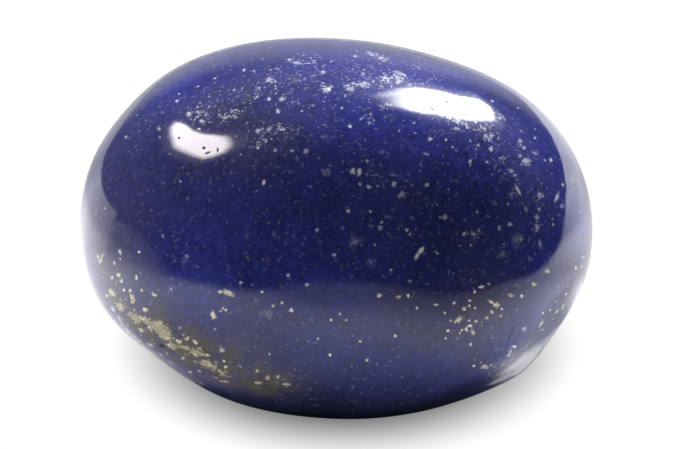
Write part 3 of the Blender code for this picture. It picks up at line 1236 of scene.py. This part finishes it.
seen_sheet = stage_thing("seen_sheet", square(SHEET_HALF, 0.0), seen_paper())
seen_sheet.visible_diffuse = False
seen_sheet.visible_glossy = False
seen_sheet.visible_shadow = False
seen_sheet.visible_transmission = False
print("the shadow's size in mm:", [round(2 * half * (1 + SHADOW_FADE)) for half in SHADOW_HALVES])

# %% The sheet that the stone mirrors
PAPER_ALBEDO = 0.4
# How far below the seen sheet it lies.
SHEET_GAP = 0.05 * MM
# The stone shades what is near it: how far it reaches, and how steeply the light falls off.
SHADE_REACH = 80 * MM
SHADE_POWER = 3.6
SHADE_SAMPLES = 16
# Pools of light on the table: middle in millimetres, reach in millimetres and brightness. A
# brightness below zero is a shade in other pools.
LIGHT_POOLS = {
    "right": ((56.0, 12.0, 0.0), 55.0, 2.0),
    "right_near": ((21.0, -7.0, 0.0), 22.0, 2.1),
    "right_shade": ((17.0, 5.0, 0.0), 11.0, -0.9),
    "right_rim": ((15.5, 14.0, 0.0), 6.5, 1.4),
    "left": ((-34.0, 14.0, 0.0), 50.0, 1.35),
    "left_near": ((-31.0, -3.0, 0.0), 26.0, 1.4),
    "left_front": ((-24.0, -30.0, 0.0), 24.0, 1.3),
    "front": ((0.0, -17.0, 0.0), 26.0, 1.8),
}
# Sides where the table is bright out to its end: azimuth, how many degrees to each side it is
# fully bright and where that ends, from which distance on in millimetres, and brightness.
LIGHT_SIDES = {
    "far_left": (-124.0, 8.0, 26.0, 20.0, 60.0, 0.85),
    "far_right": (122.0, 14.0, 30.0, 35.0, 105.0, 1.1),
    "far_behind": (156.0, 4.0, 16.0, 40.0, 110.0, 0.55),
}


def on_side(tree, way, side, full, end, strength):
    """Brightness towards one side, which fades out between two angles from it."""
    cosine = vector_node(tree, "DOT_PRODUCT", way, side, output="Value")
    ends = [math.cos(math.radians(angle)) for angle in (end, full)]
    return fade(tree, cosine, *ends, 0.0, strength)


def table_light(tree, place):
    """The sum of the pools and the bright sides."""
    total = 0.0
    for middle, reach, strength in LIGHT_POOLS.values():
        away = vector_node(tree, "DISTANCE", place, Vector(middle) * MM, output="Value")
        total = plus(tree, fade(tree, away, 0.0, reach * MM, strength, 0.0), total)
    way = vector_node(tree, "NORMALIZE", place)
    away = vector_node(tree, "LENGTH", place, output="Value")
    for azimuth, full, end, starts, ends, strength in LIGHT_SIDES.values():
        side = on_side(tree, way, facing(azimuth), full, end, strength)
        side = times(tree, side, fade(tree, away, starts * MM, ends * MM))
        total = plus(tree, side, total)
    return total


def mirrored_paper():
    material, tree, surface_socket = new_material("mirrored_paper")
    material.cycles.emission_sampling = "NONE"
    place = tree.nodes.new("ShaderNodeTexCoord").outputs["Object"]
    sky = tree.nodes.new("ShaderNodeAmbientOcclusion")
    sky.inputs["Distance"].default_value = SHADE_REACH
    sky.samples = SHADE_SAMPLES
    shade = math_node(tree, "POWER", sky.outputs["AO"], SHADE_POWER)
    paper = tree.nodes.new("ShaderNodeBsdfDiffuse")
    paper.inputs["Color"].default_value = (PAPER_ALBEDO, PAPER_ALBEDO, PAPER_ALBEDO, 1.0)
    lit = tree.nodes.new("ShaderNodeAddShader")
    tree.links.new(paper.outputs["BSDF"], lit.inputs[0])
    tree.links.new(glowing(tree, times(tree, shade, table_light(tree, place))), lit.inputs[1])
    tree.links.new(lit.outputs["Shader"], surface_socket)
    return material


mirrored_sheet = stage_thing("mirrored_sheet", square(SHEET_HALF, -SHEET_GAP), mirrored_paper())
mirrored_sheet.visible_camera = False
print("pools of light:", len(LIGHT_POOLS), "bright sides:", len(LIGHT_SIDES))

# %% [markdown]
# Towards the camera the sheet ends in a dark room, and its picture in the stone ends in a wavy
# border. A black cover lies there, seen only by the stone, and it is shaped by rays through that
# border, as the softboxes are. The border is blurred to both sides of its middle: the cover is
# clear where the picture of the sheet starts to fade and solid where that picture is gone.

# %% The dark room in front
# The middle of the border between the mirrored room and the mirrored sheet, in pixels, and how
# far it is blurred to each side.
ROOM_EDGE = [
    (113, 221, 3), (122, 228, 6), (132, 236, 7), (142, 246, 8), (150, 257, 7), (159, 268, 6),
    (174, 277, 5), (200, 283, 5), (240, 291, 5), (280, 290, 5), (320, 283, 5), (360, 285, 5),
    (400, 290, 5), (440, 296, 5), (462, 295, 4), (480, 291, 4), (500, 285, 3), (520, 280, 3),
    (536, 273, 3), (548, 264, 3), (556, 252, 2), (562, 240, 2), (565, 229, 2), (566, 217, 2),
]
# How high the cover lies over the sheet, and how far out it reaches, in metres.
COVER_HEIGHT = 0.05 * MM
FAR = 2.9
BLACK_CLOTH = (0.01, 0.01, 0.012, 1.0)


def on_sheet(x, y):
    """Where the reflection that a pixel shows meets the sheet."""
    cover_point = Vector((0.0, 0.0, COVER_HEIGHT))
    return meets_plane(*gloss_looks(x, y), cover_point, Vector((0.0, 0.0, 1.0)))


def edge_pixels(side):
    """The border's pixels, moved by its blur to the sheet's side, -1, or the room's side, 1."""
    pixels = []
    for i, (x, y, blur) in enumerate(ROOM_EDGE):
        before, after = ROOM_EDGE[max(i - 1, 0)], ROOM_EDGE[min(i + 1, len(ROOM_EDGE) - 1)]
        across, down = after[0] - before[0], after[1] - before[1]
        length = math.hypot(across, down)
        pixels.append((x + side * blur * down / length, y - side * blur * across / length))
    return pixels


def dark_cover():
    shape = bmesh.new()
    dark = shape.verts.layers.float.new("share")
    rows = []
    for side, share in ((-1, 0.0), (1, 1.0)):
        row = [shape.verts.new(on_sheet(x, y)) for x, y in edge_pixels(side)]
        for vert in row:
            vert[dark] = share
        rows.append(row)
    outer = []
    for vert in rows[1]:
        away = Vector((vert.co.x, vert.co.y, 0.0))
        outer.append(shape.verts.new(vert.co + away.normalized() * (FAR - away.length)))
        outer[-1][dark] = 1.0
    rows.append(outer)
    for near, far in zip(rows, rows[1:]):
        for i in range(len(near) - 1):
            bmesh.ops.contextual_create(shape, geom=[near[i], near[i + 1], far[i + 1], far[i]])
    return shape


def dark_cloth():
    material, tree, surface_socket = new_material("dark_cloth")
    clear = tree.nodes.new("ShaderNodeBsdfTransparent")
    cloth = tree.nodes.new("ShaderNodeBsdfDiffuse")
    cloth.inputs["Color"].default_value = BLACK_CLOTH
    both = tree.nodes.new("ShaderNodeMixShader")
    tree.links.new(attribute(tree, "share"), both.inputs["Fac"])
    tree.links.new(clear.outputs["BSDF"], both.inputs[1])
    tree.links.new(cloth.outputs["BSDF"], both.inputs[2])
    tree.links.new(both.outputs["Shader"], surface_socket)
    return material


dark_room = stage_thing("dark_room", dark_cover(), dark_cloth())
dark_room.visible_camera = False
dark_room.visible_shadow = False
for name, side in (("fades from", -1), ("gone at", 1)):
    print(name, [tuple(round(c / MM) for c in on_sheet(x, y)[:2]) for x, y in edge_pixels(side)])

# %% [markdown]
# Behind the stone to the right stands a low white wall. Its upper edge makes the clean border of
# the pale band along the right rim. It starts as a row of points that rays find, and one extrude
# takes that row down to the sheet. The rest of the room is a dim grey that is a little brighter
# behind and to the left, and the camera sees plain white in its place.

# %% The low wall behind
# Pixels along the upper edge of the wall's picture in the gloss, and how bright it is there.
WALL_TOP_SEEN = [
    (566, 213, 2.2), (566, 203, 2.2), (566, 195, 2.2), (565, 186, 2.2), (564, 178, 2.1),
    (562, 165, 1.8), (559, 154, 1.5), (555, 144, 1.4), (549, 132, 1.4), (541, 121, 1.4),
    (533, 111, 1.3), (525, 102, 1.2), (515, 92, 1.0), (503, 84, 0.8),
]
# How far off it stands, in metres.
WALL_DISTANCE = 1.0


def low_wall():
    shape = bmesh.new()
    share_of = shape.verts.layers.float.new("share")
    for x, y, share in WALL_TOP_SEEN:
        point, way = gloss_looks(x, y)
        flat = Vector((way.x, way.y, 0.0)).length
        vert = shape.verts.new(point + way * WALL_DISTANCE / flat)
        vert.co.z = max(vert.co.z, MM)
        vert[share_of] = share
    shape.verts.ensure_lookup_table()
    for near, far in zip(shape.verts[:], shape.verts[1:]):
        shape.edges.new((near, far))
    lowered = bmesh.ops.extrude_edge_only(shape, edges=shape.edges)
    for item in lowered["geom"]:
        if isinstance(item, bmesh.types.BMVert):
            item.co.z = 0.0
    return shape


white_wall = stage_thing("white_wall", low_wall(), lamp_glow("white_wall", (1.0, 1.0, 1.0), 1.0))
white_wall.visible_camera = False
print("wall height in mm:", round(max(vert.co.z for vert in white_wall.data.vertices) / MM))

# %% The room
ROOM_DIM = 0.06
# Brighter sides of the room: the way to each, how many degrees from it the side is fully bright
# and where that ends, and brightness.
BRIGHT_SIDES = {
    "left": (facing(-140.0), 20.0, 90.0, 0.1),
    "straight_behind": (facing(180.0, 5.0), 7.0, 26.0, 0.6),
}


def light_room(tree):
    tree.nodes.clear()
    way = tree.nodes.new("ShaderNodeTexCoord").outputs["Generated"]
    level = ROOM_DIM
    for side in BRIGHT_SIDES.values():
        level = plus(tree, on_side(tree, way, *side), level)
    ray = tree.nodes.new("ShaderNodeLightPath")
    seen = blend(tree, "Float", ray.outputs["Is Camera Ray"], level, SHEET_BRIGHT)
    glow = tree.nodes.new("ShaderNodeBackground")
    output = tree.nodes.new("ShaderNodeOutputWorld")
    tree.links.new(seen, glow.inputs["Strength"])
    tree.links.new(glow.outputs["Background"], output.inputs["Surface"])


world = bpy.data.worlds.new("room")
bpy.context.scene.world = world
world.use_nodes = True
light_room(world.node_tree)
bpy.context.scene.view_settings.view_transform = "Standard"
print("brighter sides of the room:", len(BRIGHT_SIDES))
